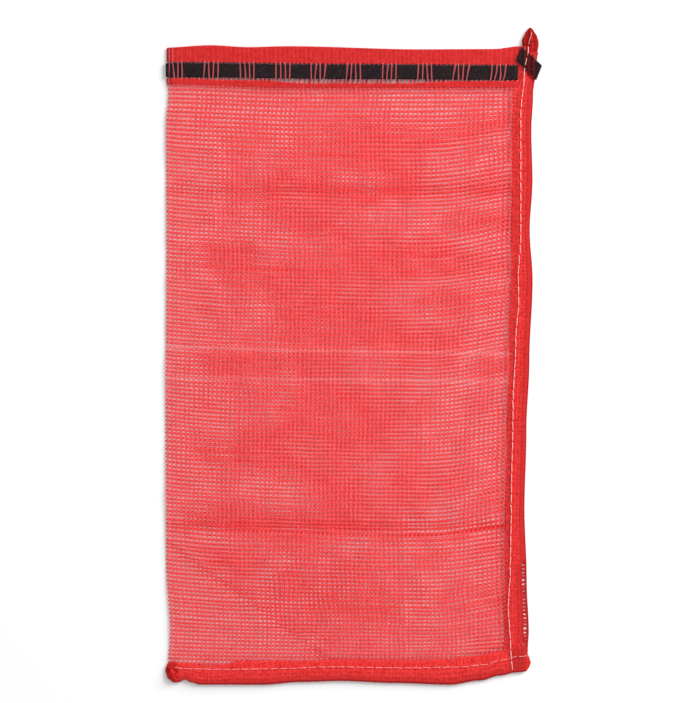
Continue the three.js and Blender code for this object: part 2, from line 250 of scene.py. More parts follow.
def crease_marks(x, y, sign):
    """How strongly points carry painted highlight along the folds that open the net, sign 1, or painted
    shade along the folds that crowd it and over one patch, sign -1.
    """
    share = np.zeros_like(y)
    if sign < 0:
        # a soft patch of painted shade on the shown face
        aside, up = x - SHADE_PATCH_SPOT[0], y - SHADE_PATCH_SPOT[1]
        reach = (aside / SHADE_PATCH_REACH[0]) ** 2 + (up / SHADE_PATCH_REACH[1]) ** 2
        share = SHADE_PATCH_SHARE * np.exp(-reach)
    for level, slope, opening, wide in CREASES:
        if opening * sign > 0:
            off = (y - level - slope * x) / math.hypot(1, slope)
            share = np.maximum(share, abs(opening) * np.exp(-(off / wide) ** 2))
    return share


def loose_corner(out, along):
    """Share of the corner by the knob, below a slanting wrinkle, where both faces lie alike."""
    past = (WRINKLE_END[0] - out) * WRINKLE_SLOPE + WRINKLE_END[1] - along
    return eased(WRINKLE_BLEND, past)


def across_sack(across, along):
    """The place from left to right of a point of the flat cloth, measured from the fold."""
    out = np.abs(across)
    free = 1 - np.exp(-out / FOLD_HOLD)
    fold, outer = eased(FOLD_SIDE, along), eased(HEM_OUTER, along)
    hem = (eased(HEM_INNER, along) + outer) / 2
    shown = FACE_DRIFT * drift(out, along, 11)
    apart = 1 - loose_corner(out, along)
    back = apart * (eased(BACK_STRETCH, along) * out + BACK_DRIFT * drift(out, along, 12))
    x = fold + out * (hem - fold) / NET_REACH + free * np.where(across >= 0, shown, back)
    return np.minimum(x, outer - HEM_CATCH)


def round_the_fold(x, across, along, height, shown_layer, back_layer):
    """Places from left to right and up of cloth that turns over at the fold."""
    out = np.abs(across)
    side = np.where(across >= 0, 1, -1)
    flat = 1 - np.exp(-out / FOLD_ROUNDING)
    turn = np.exp(-(out / FOLD_TURN) ** 2) * math.pi / 2
    fold = FOLD_LAYER + FOLD_WAVE * drift(np.zeros_like(along), along, 16)
    layer = fold + flat * (np.where(across >= 0, shown_layer, back_layer) - fold)
    return x - height * np.sin(turn), layer + side * height * np.cos(turn)


def net_spot(across, along, height):
    """Where a point of the flat netting lies: across is measured from the fold, forwards over
    the shown face and backwards over the other one, and height from the middle of the cloth."""
    out = np.abs(across)
    free = 1 - np.exp(-out / FOLD_HOLD)
    x = across_sack(across, along)
    band = eased(BAND_SHARE, along)
    hang = sag(x) * eased(SAG_SHARE, along)
    y = along + (1 - band) * hang + band * (eased(BAND_FOOT, x) - FOOT_LEVEL)
    shown = FACE_DRIFT * drift(out, along, 13)
    slant = BACK_SLANT * out * eased(SLANT_SHARE, along)
    back = slant + (1 - loose_corner(out, along)) * BACK_DRIFT * drift(out, along, 14)
    y = y + free * (1 - band) * np.where(across >= 0, shown, back)
    y = y + spread(x, y)
    off_hem = 1 - np.exp((out - NET_REACH) / HEM_HOLD)
    slack = (1 - band) * free * off_hem * eased(FOOT_SLACK, along)
    layer = SHOWN_LAYER + slack * relief(x, y) + band * BAND_LIFT
    x, z = round_the_fold(x, across, along, height, layer, BACK_LAYER)
    return x, y, z


def yarn(sides, wide, high, length, segments, along_y=False):
    """The mesh of one straight yarn, closed at both ends, centred on the origin."""
    body = bmesh.new()
    bmesh.ops.create_cone(
        body, cap_ends=True, segments=sides, radius1=0.5, radius2=0.5, depth=length)
    lengthwise = [
        edge for edge in body.edges
        if abs(edge.verts[0].co.z - edge.verts[1].co.z) > length / 2]
    bmesh.ops.subdivide_edges(body, edges=lengthwise, cuts=segments - 1)
    bmesh.ops.transform(body, matrix=Matrix.Rotation(math.pi / 2, 4, "Y"), verts=body.verts)
    flat_up = Matrix.Rotation(math.pi / 2 - math.pi / sides, 4, "X")
    bmesh.ops.transform(body, matrix=flat_up, verts=body.verts)
    width = 2 * max(vert.co.y for vert in body.verts)
    top, foot = max(vert.co.z for vert in body.verts), min(vert.co.z for vert in body.verts)
    bmesh.ops.scale(body, vec=(1, wide / width, high / (top - foot)), verts=body.verts)
    if along_y:
        bmesh.ops.transform(body, matrix=Matrix.Rotation(math.pi / 2, 4, "Z"), verts=body.verts)
    mesh = bpy.data.meshes.new("yarn")
    body.to_mesh(mesh)
    body.free()
    return mesh


def row_of(mesh, count, step):
    """The mesh of a row of copies, each a step past the last."""
    carrier = new_object("row", mesh)
    row = carrier.modifiers.new("row", "ARRAY")
    row.use_relative_offset = False
    row.use_constant_offset = True
    row.constant_offset_displace = step
    row.count = count
    ready = carrier.evaluated_get(bpy.context.evaluated_depsgraph_get())
    joined = bpy.data.meshes.new_from_object(ready)
    bpy.data.objects.remove(carrier)
    return joined


def copy_numbers(mesh, count):
    """Which copy of a row each point belongs to."""
    return np.repeat(np.arange(count), len(mesh.vertices) // count)


def points_of(mesh):
    """Places of a mesh's points as three lists: across, along and height."""
    places = np.empty(len(mesh.vertices) * 3)
    mesh.vertices.foreach_get("co", places)
    return places.reshape(-1, 3).T.copy()


def map_flat(mesh, across, along):
    """The cloth's own map: each point's place on the flat cloth."""
    flat = np.stack([across - across.min(), along - along.min()], axis=1)
    flat /= flat.max()
    corners = np.empty(len(mesh.loops), np.int32)
    mesh.loops.foreach_get("vertex_index", corners)
    layer = mesh.uv_layers.new(name="OFBake")
    layer.uv.foreach_set("vector", flat[corners].astype(np.float32).ravel())


def piece(name, mesh, spots, material, node):
    """Puts a mesh's points in their places, in millimetres, and adds it to the sack."""
    x, y, z = spots
    places = np.stack([x + MIDDLE_X, y, z], axis=1) * MM
    mesh.vertices.foreach_set("co", places.ravel())
    body = bmesh.new()
    body.from_mesh(mesh)
    if body.calc_volume(signed=True) < 0:
        bmesh.ops.reverse_faces(body, faces=body.faces)
    body.to_mesh(mesh)
    body.free()
    mesh.name = name
    mesh.materials.clear()
    mesh.materials.append(material)
    made = new_object(name, mesh)
    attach(made, "root")
    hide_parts(node)


def add_node(material, kind):
    return material.node_tree.nodes.new(kind)


def mottle(material, shader, low, high, scale, low_share=0.36, high_share=0.64):
    """Colours a material unevenly between two colours, in specks of about one over the scale."""
    place = add_node(material, "ShaderNodeTexCoord")
    noise = add_node(material, "ShaderNodeTexNoise")
    noise.inputs["Scale"].default_value = scale
    noise.inputs["Detail"].default_value = GRAIN_DETAIL
    ramp = add_node(material, "ShaderNodeValToRGB")
    ramp.color_ramp.elements[0].position = low_share
    ramp.color_ramp.elements[0].color = low
    ramp.color_ramp.elements[1].position = high_share
    ramp.color_ramp.elements[1].color = high
    links = material.node_tree.links
    links.new(place.outputs["Object"], noise.inputs["Vector"])
    links.new(noise.outputs["Fac"], ramp.inputs["Fac"])
    links.new(ramp.outputs["Color"], shader.inputs["Base Color"])


def yarn_material(name, bright, deep, glow, clearness):
    """Drawn plastic yarn: uneven in colour, slightly glossy, and it lets some light through."""
    material, shader = surface_material(name, bright, YARN_ROUGHNESS)
    shader.inputs["Specular IOR Level"].default_value = YARN_GLOSS
    mottle(material, shader, deep, bright, YARN_GRAIN)
    through = add_node(material, "ShaderNodeBsdfTranslucent")
    through.inputs["Color"].default_value = glow
    mix = add_node(material, "ShaderNodeMixShader")
    mix.inputs["Fac"].default_value = clearness
    tree = material.node_tree
    tree.links.new(shader.outputs["BSDF"], mix.inputs[1])
    tree.links.new(through.outputs["BSDF"], mix.inputs[2])
    tree.links.new(mix.outputs["Shader"], tree.nodes["Material Output"].inputs["Surface"])
    return material


def tint_where(material, mark, tint):
    """Turns a material's colour to a tint by how much each point of the mesh is marked."""
    colour = material.node_tree.nodes["Principled BSDF"].inputs["Base Color"]
    links = material.node_tree.links
    value = add_node(material, "ShaderNodeAttribute")
    value.attribute_name = mark
    mix = add_node(material, "ShaderNodeMix")
    mix.data_type = "RGBA"
    share, plain, tinted = mix.inputs[0], mix.inputs[6], mix.inputs[7]
    tinted.default_value = tint
    links.new(value.outputs["Fac"], share)
    links.new(colour.links[0].from_socket, plain)
    links.new(mix.outputs[2], colour)


def mark_points(mesh, mark, share):
    layer = mesh.attributes.new(mark, "FLOAT", "POINT")
    layer.data.foreach_set("value", share.astype(np.float32))


def net_yarn(name, bright, deep, glow):
    """Yarn of the open net, with painted highlight along the folds that open it and painted shade where
    folds crowd it and over one patch.
    """
    material = yarn_material(name, bright, deep, glow, YARN_CLEARNESS)
    # painted highlight along the folds that open the net
    tint_where(material, "crease_highlight", NET_HIGHLIGHT_TINT)
    # painted shade along the folds that crowd the net and over one patch
    tint_where(material, "net_shade", NET_SHADE_TINT)
    return material


def lay_net(name, mesh, across, along, height, material):
    """Lays woven yarns in their places, marked for the painted highlight and painted shade along the
    folds of the sack and over one patch.
    """
    spots = net_spot(across, along, height)
    # where the painted highlight goes
    mark_points(mesh, "crease_highlight", crease_marks(spots[0], spots[1], 1))
    # where the painted shade goes
    mark_points(mesh, "net_shade", crease_marks(spots[0], spots[1], -1))
    piece(name, mesh, spots, material, "net")


weft_yarn = net_yarn("weft_yarn", WEFT_RED, WEFT_DEEP_RED, WEFT_GLOW)


def weave_wefts():
    one = yarn(4, WEFT_WIDE, WEFT_HIGH, 2 * NET_REACH, 2 * WARPS_A_FACE)
    mesh = row_of(one, WEFT_COUNT, (0, WEFT_PITCH, 0))
    across, along, height = points_of(mesh)
    map_flat(mesh, across, along)
    weft = copy_numbers(mesh, WEFT_COUNT)
    aside = along - weft * WEFT_PITCH
    uneven = np.random.default_rng(21).normal(0, WEFT_JITTER, WEFT_COUNT)[weft]
    swell = WEFT_SWELL
    for length, turn in SWELL_WAVES:
        swell = swell * np.sin(across / length + turn * weft)
    along = NET_FOOT + weft * WEFT_PITCH + uneven + aside * (1 + swell)
    lay_net("net_wefts", mesh, across, along, height, weft_yarn)


weave_wefts()

# The standing warps of the netting: yarn that runs straight up the sack under every weft.
# Each has a second warp that crosses it, and the two grip the wefts between them.
WARP_WIDE = 1.45
WARP_HIGH = 0.32
GROUND_HEIGHT = -0.24                 # from the middle of the cloth
WARP_SWAY = 0.5                       # how far each of the pair stands aside at a weft
WARP_JITTER = 0.16
WARP_RED = (0.99, 0.34, 0.36, 1)
WARP_DEEP_RED = (0.98, 0.24, 0.25, 1)
WARP_GLOW = (1.0, 0.78, 0.79, 1)
NET_LENGTH = (WEFT_COUNT - 1) * WEFT_PITCH

warp_yarn = net_yarn("warp_yarn", WARP_RED, WARP_DEEP_RED, WARP_GLOW)
warp_jitter = np.random.default_rng(22).normal(0, WARP_JITTER, 2 * WARPS_A_FACE)


def weave_standing_warps():
    one = yarn(3, WARP_WIDE, WARP_HIGH, NET_LENGTH, WEFT_COUNT - 1, along_y=True)
    mesh = row_of(one, 2 * WARPS_A_FACE, (WARP_PITCH, 0, 0))
    across, along, height = points_of(mesh)
    across += (0.5 - WARPS_A_FACE) * WARP_PITCH
    along += NET_LENGTH / 2
    map_flat(mesh, across, along)
    sway = -WARP_SWAY * np.cos(math.pi * along / WEFT_PITCH)
    across += warp_jitter[copy_numbers(mesh, 2 * WARPS_A_FACE)] + sway
    lay_net("net_standing_warps", mesh, across, along + NET_FOOT, height + GROUND_HEIGHT, warp_yarn)


weave_standing_warps()

# The crossing warps of the netting: each passes over a weft on one side of its standing warp, dips
# under that warp and passes over the next weft on the other side, which locks the open weave.
CROSSING_RISE = 0.36                  # half of the way from its highest place to its lowest
CROSSING_HEIGHT = -0.12


def weave_crossing_warps(name, first):
    one = yarn(3, WARP_WIDE, WARP_HIGH, NET_LENGTH, 2 * (WEFT_COUNT - 1), along_y=True)
    mesh = row_of(one, WARPS_A_FACE, (WARP_PITCH, 0, 0))
    across, along, height = points_of(mesh)
    across += (first + 0.5 - WARPS_A_FACE) * WARP_PITCH
    along += NET_LENGTH / 2
    map_flat(mesh, across, along)
    sway = WARP_SWAY * np.cos(math.pi * along / WEFT_PITCH)
    across += warp_jitter[first + copy_numbers(mesh, WARPS_A_FACE)] + sway
    height += CROSSING_HEIGHT + CROSSING_RISE * np.cos(2 * math.pi * along / WEFT_PITCH)
    lay_net(name, mesh, across, along + NET_FOOT, height, warp_yarn)


weave_crossing_warps("net_crossing_warps_back", 0)
weave_crossing_warps("net_crossing_warps_front", WARPS_A_FACE)

# The band round the mouth: the same cloth woven close, in a wide stripe up to the mouth's edge and
# a narrow one below the tape, with its wefts beaten up against each other.
MOUTH_EDGE = (                        # places across, and the levels of the band's lines there
    (-198, 323.5), (-150, 326), (-110, 324), (-70, 325), (70, 321.7), (145, 322), (176, 325),
)
TAPE_CENTRE = ((-198, 300), (0, 298), (176, 297))
LADDER_FOOT = ((-197, 291.4), (-110, 289.2), (-40, 286), (50, 286), (110, 288.2), (176, 288.6))
LADDER_HEAD = ((-198, 308.9), (0, 306.8), (176, 305.6))
TAPE_WIDE = 14.5
LADDER_FOOT_LEVEL, TAPE_LEVEL, LADDER_HEAD_LEVEL, MOUTH_LEVEL = 288.0, 298.0, 307.0, 324.0
BAND_WEFT_WIDE, BAND_WEFT_HIGH = 1.9, 0.5
BAND_WEFT_WAVE = 0.1                  # how far they rise and fall over the warps
UPPER_WEFTS = 14
LOWER_WEFTS = 5
BAND_SHOWN, BAND_BACK = 3.95, 0.95    # heights of its two faces
UPRIGHT_POWER = 8                     # keeps its warps upright, except close to the side hem
BAND_RED = (0.68, 0.03, 0.03, 1)
BAND_DEEP_RED = (0.55, 0.018, 0.018, 1)
BAND_GLOW = (0.8, 0.045, 0.045, 1)
BAND_CLEARNESS = 0.22


def band_spot(across, along, height):
    """Where a point of the flat band lies, between its foot, the tape and the mouth's edge."""
    upright = 1 - (np.abs(across) / NET_REACH) ** UPRIGHT_POWER
    x = across_sack(across, along - upright * (along - FOOT_LEVEL))
    tape = eased(TAPE_CENTRE, x)
    edges = (
        (FOOT_LEVEL, eased(BAND_FOOT, x)),
        (LADDER_FOOT_LEVEL, eased(LADDER_FOOT, x)),
        (TAPE_LEVEL - TAPE_WIDE / 2, tape - TAPE_WIDE / 2),
        (TAPE_LEVEL + TAPE_WIDE / 2, tape + TAPE_WIDE / 2),
        (LADDER_HEAD_LEVEL, eased(LADDER_HEAD, x)),
        (MOUTH_LEVEL, eased(MOUTH_EDGE, x)),
    )
    y = edges[0][1]
    for (low_level, low), (high_level, high) in zip(edges, edges[1:]):
        y = y + (high - low) * np.clip((along - low_level) / (high_level - low_level), 0, 1)
    x, z = round_the_fold(x, across, along, height, BAND_SHOWN, BAND_BACK)
    return x, y, z


band_yarn = yarn_material("band_yarn", BAND_RED, BAND_DEEP_RED, BAND_GLOW, BAND_CLEARNESS)


def weave_band_stripe(name, low, high, count):
    half = BAND_WEFT_WIDE / 2
    pitch = (high - low - BAND_WEFT_WIDE) / (count - 1)
    one = yarn(4, BAND_WEFT_WIDE, BAND_WEFT_HIGH, 2 * NET_REACH, 2 * WARPS_A_FACE)
    mesh = row_of(one, count, (0, pitch, 0))
    across, along, height = points_of(mesh)
    map_flat(mesh, across, along)
    over = np.where(copy_numbers(mesh, count) % 2 == 0, 1, -1)
    height += BAND_WEFT_WAVE * over * np.cos(math.pi * across / WARP_PITCH)
    spots = band_spot(across, along + low + half, height)
    piece(name, mesh, spots, band_yarn, "mouth_band")


weave_band_stripe("band_lower_wefts", FOOT_LEVEL, LADDER_FOOT_LEVEL, LOWER_WEFTS)
weave_band_stripe("band_upper_wefts", LADDER_HEAD_LEVEL, MOUTH_LEVEL, UPPER_WEFTS)

# The warps of the band: they run on from the netting up to the mouth's edge. Between the two
# stripes they are bare, and cross the tape in front of it and behind it, four and four by turns.
BAND_WARP_WIDE = 1.45
BAND_WARP_STEPS = 36
BAND_WARP_RISE = 0.135
BAND_WARP_SWAY = 0.15
TAPE_CROSSING = 0.69                  # from the middle of the tape
OVER_A_GROUP = 4
LADDER_BLEND = 2.0
LADDER_APART, LADDER_RISE = 0.22, 0.12  # how far the warps of a pair part where they are bare
LADDER_NARROWING = 0.3
LADDER_LEAN, LADDER_TWIST = 0.8, 0.3  # how unevenly a pair leans, and how differently its warps do
RIB_RED = (0.76, 0.13, 0.145, 1)
RIB_DEEP_RED = (0.64, 0.06, 0.067, 1)
LADDER_PINK = (0.45, 0.09, 0.105, 1)
BAND_LENGTH = MOUTH_LEVEL - FOOT_LEVEL

rib_yarn = yarn_material("rib_yarn", RIB_RED, RIB_DEEP_RED, BAND_GLOW, BAND_CLEARNESS)
tint_where(rib_yarn, "bare", LADDER_PINK)
ladder_lean = np.random.default_rng(23).normal(0, LADDER_LEAN, 2 * WARPS_A_FACE)


def weave_band_warps(name, side):
    one = yarn(3, BAND_WARP_WIDE, WARP_HIGH, BAND_LENGTH, BAND_WARP_STEPS, along_y=True)
    mesh = row_of(one, 2 * WARPS_A_FACE, (WARP_PITCH, 0, 0))
    across, along, height = points_of(mesh)
    across += (0.5 - WARPS_A_FACE) * WARP_PITCH
    along += BAND_LENGTH / 2 + FOOT_LEVEL
    map_flat(mesh, across, along)
    warp = copy_numbers(mesh, 2 * WARPS_A_FACE)
    middle = (warp + 0.5 - WARPS_A_FACE) * WARP_PITCH
    from_fold = np.where(warp >= WARPS_A_FACE, warp - WARPS_A_FACE, WARPS_A_FACE - 1 - warp)
    over = np.where(from_fold // OVER_A_GROUP % 2 == 0, 1, -1)
    from_tape = along - TAPE_LEVEL
    tape_edge = TAPE_WIDE / 2
    ladder = eased(((0, 1), (tape_edge, 1), (tape_edge + LADDER_BLEND, 0)), np.abs(from_tape))
    sway = side * BAND_WARP_SWAY * np.cos(math.pi * along / WEFT_PITCH) * (1 - ladder)
    sway += side * LADDER_APART * ladder
    lean = ladder_lean[warp] * np.clip(from_tape / TAPE_WIDE, -0.5, 0.5)
    lean *= 1 + side * LADDER_TWIST
    across = middle + (across - middle) * (1 - LADDER_NARROWING * ladder)
    across += warp_jitter[warp] + sway + lean
    height += ladder * (over * TAPE_CROSSING + side * LADDER_RISE)
    height += (1 - ladder) * side * BAND_WARP_RISE
    mark_points(mesh, "bare", ladder)
    piece(name, mesh, band_spot(across, along, height), rib_yarn, "mouth_band")


weave_band_warps("band_standing_warps", -1)
weave_band_warps("band_crossing_warps", 1)

# The drawstring: a flat black tape woven from plastic yarn. It goes along the back of the mouth,
# round the fold, along the shown face and through the side hem, then turns back on a slant.
TAPE_THICK = 0.5
TAPE_SHOWN, TAPE_BACK = 3.9, 1.1      # heights along the two faces
TAPE_LEFT_BEND, TAPE_END_BEND = -195.5, 193.4
TAPE_END_RADIUS = 0.9
TAPE_END_ANGLE = math.radians(68.5)
TAPE_END_LENGTH = 31.0
TAPE_BACK_END = 170.0
TAPE_SLANT_FROM = 100.0
TAPE_DIP = ((170, 0), (175, 1.7), (182, 1.7), (191, 0))  # into the side hem
TAPE_YARN = 1.3
TAPE_RELIEF = 0.07
# how strongly the painted sheen on the raised crossings shows
RAISED_SHEEN_SHARE = 0.7
TAPE_ROUGHNESS = 0.45
TAPE_GLOSS = 0.05
# size of the specks of painted sheen
TAPE_SHEEN_SCALE = 800
TAPE_SHEEN_SPECKS = (0.52, 0.72)            # where the painted sheen specks turn from black to grey
TAPE_BLACK = (0.004, 0.0018, 0.0022, 1)
# painted sheen: grey specks of light off the woven yarn
TAPE_SHEEN_GREY = (0.045, 0.036, 0.038, 1)
# painted sheen on the raised crossings of the weave
TAPE_RAISED_SHEEN = (0.026, 0.017, 0.019, 1)


def bent_back(distance, radius):
    """How far out and up a tape has gone past the line where it turns back, and its turn."""
    turn = np.clip(distance / radius, 0, math.pi)
    straight = np.maximum(distance, 0) - turn * radius
    out = np.where(distance <= 0, distance, radius * np.sin(turn) - straight)
    return out, radius * (1 - np.cos(turn)), turn


def tape_spot(place, offset, side):
    """Where a point of the tape lies: its place along it, offset across it and side through it."""
    fold_radius = (TAPE_SHOWN - TAPE_BACK) / 2
    out, up, turn = bent_back(TAPE_LEFT_BEND - place, fold_radius)
    left_x = TAPE_LEFT_BEND - out - side * np.sin(turn)
    left = left_x, eased(TAPE_CENTRE, left_x) + offset, TAPE_SHOWN - up + side * np.cos(turn)

    out_x, out_y = math.sin(TAPE_END_ANGLE), -math.cos(TAPE_END_ANGLE)
    bend_y = eased(TAPE_CENTRE, TAPE_END_BEND)
    slant = eased(((TAPE_SLANT_FROM, 0), (TAPE_END_BEND, 1)), place) / math.tan(TAPE_END_ANGLE)
    x = place + slant * offset
    y = eased(TAPE_CENTRE, x) + offset
    past = (x - TAPE_END_BEND) * out_x + (y - bend_y) * out_y
    out, up, turn = bent_back(past, TAPE_END_RADIUS)
    move = out - past - side * np.sin(turn)
    up = up + side * np.cos(turn) - np.where(turn > 0, 0, eased(TAPE_DIP, x))
    right = x + move * out_x, y + move * out_y, TAPE_SHOWN + up
    return [np.where(place < TAPE_LEFT_BEND, a, b) for a, b in zip(left, right)]


def slab(columns, rows):
    """A closed flat block, one layer thick, with each side running from 0 to 1."""
    body = bmesh.new()
    bmesh.ops.create_grid(body, x_segments=columns, y_segments=rows, size=0.5)
    bmesh.ops.translate(body, vec=(0.5, 0.5, 0), verts=body.verts)
    bmesh.ops.solidify(body, geom=body.faces[:], thickness=1)
    lowest = min(vert.co.z for vert in body.verts)
    bmesh.ops.translate(body, vec=(0, 0, -lowest), verts=body.verts)
    bmesh.ops.recalc_face_normals(body, faces=body.faces)
    mesh = bpy.data.meshes.new("slab")
    body.to_mesh(mesh)
    body.free()
    mesh.shade_smooth()
    return mesh


def weave_tape():
    material, shader = surface_material("tape_weave", TAPE_BLACK, TAPE_ROUGHNESS)
    shader.inputs["Specular IOR Level"].default_value = TAPE_GLOSS
    # painted sheen: grey specks over the black
    mottle(material, shader, TAPE_BLACK, TAPE_SHEEN_GREY, TAPE_SHEEN_SCALE, *TAPE_SHEEN_SPECKS)
    # painted sheen on the raised crossings
    tint_where(material, "raised_sheen", TAPE_RAISED_SHEEN)
    fold_turn = math.pi * (TAPE_SHOWN - TAPE_BACK) / 2
    start = 2 * TAPE_LEFT_BEND - fold_turn - TAPE_BACK_END
    length = TAPE_END_BEND + TAPE_END_LENGTH - start
    picks = round(length / TAPE_YARN)
    ends = round(TAPE_WIDE / TAPE_YARN)
    mesh = slab(picks, ends)
    along, across, through = points_of(mesh)
    map_flat(mesh, along * length, across * TAPE_WIDE)
    checks = (np.round(along * picks) + np.round(across * ends)) % 2 * 2 - 1
    # marks the raised crossings on each face for their painted sheen
    mark_points(mesh, "raised_sheen", np.where(checks * (through - 0.5) > 0, RAISED_SHEEN_SHARE, 0))
    side = (through - 0.5) * TAPE_THICK + TAPE_RELIEF * checks
    spots = tape_spot(start + along * length, (across - 0.5) * TAPE_WIDE, side)
    piece("drawstring_tape", mesh, spots, material, "drawstring")


weave_tape()

# The bottom hem: both faces of the net turned under together and sewn, so that many layers of it
# lie pressed on each other, their yarns falling where they may.
HEM_LEFT, HEM_RIGHT = -187.0, 186.0
HEM_HEIGHT = 3.7
HEM_WIDE = 20.0
HEM_FLOOR = 0.7
HEM_INNER_DROP = 0.3                  # share of its height lost at its inner edge
HEM_END_HEIGHT = ((-197.5, 0.5), (-191, 1), (179, 1), (186, 0.5))
HEM_COLUMNS, HEM_ROWS = 150, 12
HEM_INSET, HEM_MIDDLE = 0.025, 0.96   # where its pressed middle starts and ends, of its width
EDGE_CROWDING = 1.8                   # brings more of the middle's rows to the folded edge
EDGE_TAPER = 0.96                     # 1 would bring the middle to nothing at the folded edge
HEM_TURN = 0.06                       # of its width, run on round each mm of the fold's radius
FOLD_LIMIT = 2.6                      # the most that a layer turns, in radians
EDGE_SHADE_SHARE = ((0, 1), (0.5, 0))           # how much painted shade deepens the red, inward from the folded edge
CORNER_ACROSS = ((161, 0), (168, 0.7))  # and in the corner where the two hems overlap
CORNER_UP = ((-312, 1), (-300, 0))
HEM_YARN_WIDE = 2.0
HEM_YARN_HIGH = 0.28
HEM_PITCH = 3.9
HEM_WEAVE = 0.1                       # how far the yarns of a layer rise and fall over each other
HEM_UNEVEN = 0.5
HEM_WANDER, WANDER_SCALE = 0.8, 3.0   # how far its yarns wander, and how much faster than the net
HEM_END_MARGIN = 1.0                  # kept clear at both ends of a layer
HEM_REACH, HEM_FRAY = 0.97, 0.03      # how much of its width a layer covers, and how unevenly
HEM_LAYERS = ((0.1, 0.25), (0.36, -0.2), (0.62, 0.08), (-0.3, 0.15))  # height and slant of each
BOTTOM_EDGE = (                       # places across, and the levels of the hem's two edges there
    (-197.5, -331.7), (-195, -338.5), (-188.5, -342.2), (-182, -341.7), (-177.5, -339),
    (-170.5, -342.2), (-161, -344.5), (-96, -344.5), (-56, -341.7), (-14, -340.6),
    (43, -342.7), (101, -344.5), (133, -340), (154, -334.8), (170, -331.7),
    (181, -330.7), (184, -326.4), (186, -322),
)
BOTTOM_HEM_TOP = (
    (-197.5, -327.5), (-195, -323.3), (-190.5, -321.7), (-180, -323.3), (-149, -326),
    (-114, -321), (-4, -319.6), (91, -320), (122, -316), (159, -310.7), (181, -310.7),
    (184, -316), (186, -321),
)
HEM_RED = (0.88, 0.053, 0.052, 1)
HEM_DEEP_RED = (0.69, 0.027, 0.027, 1)
# painted shade for the rounded folded edges and the corner of the hems
HEM_EDGE_SHADE_RED = (0.48, 0.019, 0.019, 1)
HEM_GLOW = (0.95, 0.08, 0.08, 1)
HEM_CLEARNESS = 0.25
HEM_ROUGHNESS = 0.6
HEM_GRAIN = 700


def layered_net(name, bright, deep):
    """The two materials of a hem: its pressed middle and the yarn that lies over it, which painted
    shade deepens at the folded edge.
    """
    middle, shader = surface_material(name + "_layers", bright, HEM_ROUGHNESS)
    shader.inputs["Specular IOR Level"].default_value = YARN_GLOSS
    mottle(middle, shader, deep, bright, HEM_GRAIN)
    over = yarn_material(name + "_yarn", bright, deep, HEM_GLOW, HEM_CLEARNESS)
    # painted shade at the folded edge and in the corner
    tint_where(over, "folded", HEM_EDGE_SHADE_RED)
    return middle, over


hem_layers, hem_yarn = layered_net("hem", HEM_RED, HEM_DEEP_RED)


def crown(inward):
    """Share of a hem's full height, which thins out towards its inner edge."""
    return 1 - HEM_INNER_DROP * np.maximum(2 * inward - 1, 0) ** 2


def bottom_strip(left, right):
    """The places and the heights of the strip of bottom hem between two points along it. Inward
    runs from 0 at a hem's outer edge to 1 at its inner one."""
    def spot(along, inward, height):
        x = left + along * (right - left)
        outer, inner = eased(BOTTOM_EDGE, x), eased(BOTTOM_HEM_TOP, x)
        return x, outer + inward * (inner - outer), height

    def top(along, inward):
        x = left + along * (right - left)
        return HEM_HEIGHT * crown(inward) * eased(HEM_END_HEIGHT, x)

    return spot, top


def edge_curve(high):
    """The radius of a hem's folded outer edge, and how far in its centre lies."""
    radius = (high - HEM_FLOOR) / 2
    return radius, radius / HEM_WIDE + HEM_INSET


def press_layers(name, node, columns, spot, top, material):
    """The solid middle of a hem, where its yarns are pressed into one, rounded at the fold."""
    mesh = slab(columns, HEM_ROWS)
    along, across, through = points_of(mesh)
    map_flat(mesh, along, across)
    inward = HEM_INSET + (HEM_MIDDLE - HEM_INSET) * across ** EDGE_CROWDING
    radius, centre = edge_curve(top(along, inward))
    past = np.clip((centre - inward) * HEM_WIDE / radius, 0, 1)
    half = radius * np.sqrt(1 - EDGE_TAPER * past ** 2)
    spots = spot(along, inward, HEM_FLOOR + radius + (2 * through - 1) * half)
    piece(name, mesh, spots, material, node)


def over_the_edge(along, inward, lift, top):
    """Places in from the edge and up of a layer that lies on a hem and turns down round its fold."""
    run_on = HEM_TURN * edge_curve(top(along, 0))[0]
    reach = inward * (1 + run_on) - run_on
    high = top(along, np.maximum(reach, 0))
    radius, centre = edge_curve(high)
    turn = np.maximum((centre - reach) * HEM_WIDE / radius, 0)
    turn = FOLD_LIMIT * np.tanh(turn / FOLD_LIMIT)
    round_fold = centre - (radius + lift) * np.sin(turn) / HEM_WIDE
    return np.where(turn > 0, round_fold, reach), high - radius + (radius + lift) * np.cos(turn)


def net_patch(length, width, pitch, seed):
    """A flat patch of net, its yarns laid unevenly over and under each other."""
    columns, rows = round(length / pitch), round(width / pitch)
    column, row = length / columns, width / rows
    long_yarn = yarn(4, HEM_YARN_WIDE, HEM_YARN_HIGH, length, 2 * columns)
    short_yarn = yarn(4, HEM_YARN_WIDE, HEM_YARN_HIGH, width, 2 * rows, along_y=True)
    long_row = row_of(long_yarn, rows + 1, (0, row, 0))
    short_row = row_of(short_yarn, columns + 1, (column, 0, 0))
    number = np.concatenate([
        copy_numbers(long_row, rows + 1), rows + 1 + copy_numbers(short_row, columns + 1)])
    lengthwise = number <= rows
    both = bmesh.new()
    both.from_mesh(long_row)
    both.from_mesh(short_row)
    mesh = bpy.data.meshes.new("patch")
    both.to_mesh(mesh)
    both.free()
    along, across, height = points_of(mesh)
    along += np.where(lengthwise, length / 2, 0)
    across += np.where(lengthwise, 0, width / 2)
    uneven = np.random.default_rng(seed).normal(0, HEM_UNEVEN, rows + columns + 2)[number]
    weave = HEM_WEAVE * np.cos(math.pi * along / column) * np.cos(math.pi * across / row)
    height += np.where(lengthwise, weave, -weave)
    along += np.where(lengthwise, 0, uneven)
    across += np.where(lengthwise, uneven, 0)
    return mesh, along, across, height


